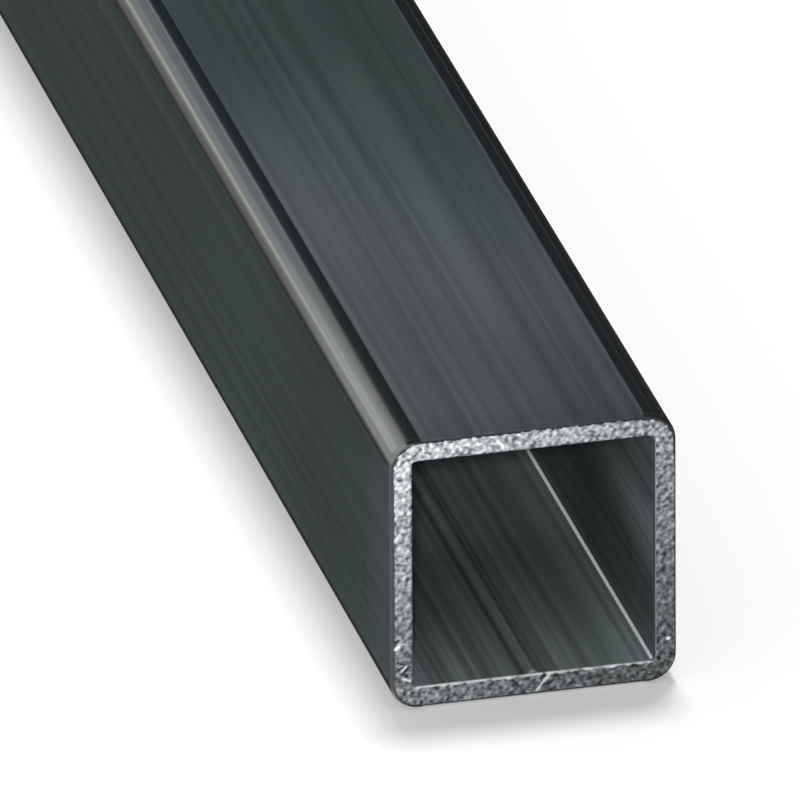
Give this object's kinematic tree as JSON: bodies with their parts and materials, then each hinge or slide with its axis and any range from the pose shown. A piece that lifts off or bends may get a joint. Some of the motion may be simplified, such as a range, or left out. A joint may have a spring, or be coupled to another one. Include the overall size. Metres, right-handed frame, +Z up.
{
  "type": "square metal tube",
  "caption": "Length of welded square steel tube, hollow and open at both sawn ends, for frames, legs, brackets and sleeves.",
  "frame": {"origin": "centre of the underside, on the surface that the tube lies on", "axes": "+Y along the tube, +Z up, +X across it. The sawn end that the picture shows faces -Y"},
  "size_m": [0.025, 1, 0.025],
  "materials": {
    "steel": "bare cold rolled steel, dark grey and lightly oiled, with burnished corners and bright sawn ends"
  },
  "bodies": {
    "root": {"square_tube": "steel"}
  },
  "joints": []
}
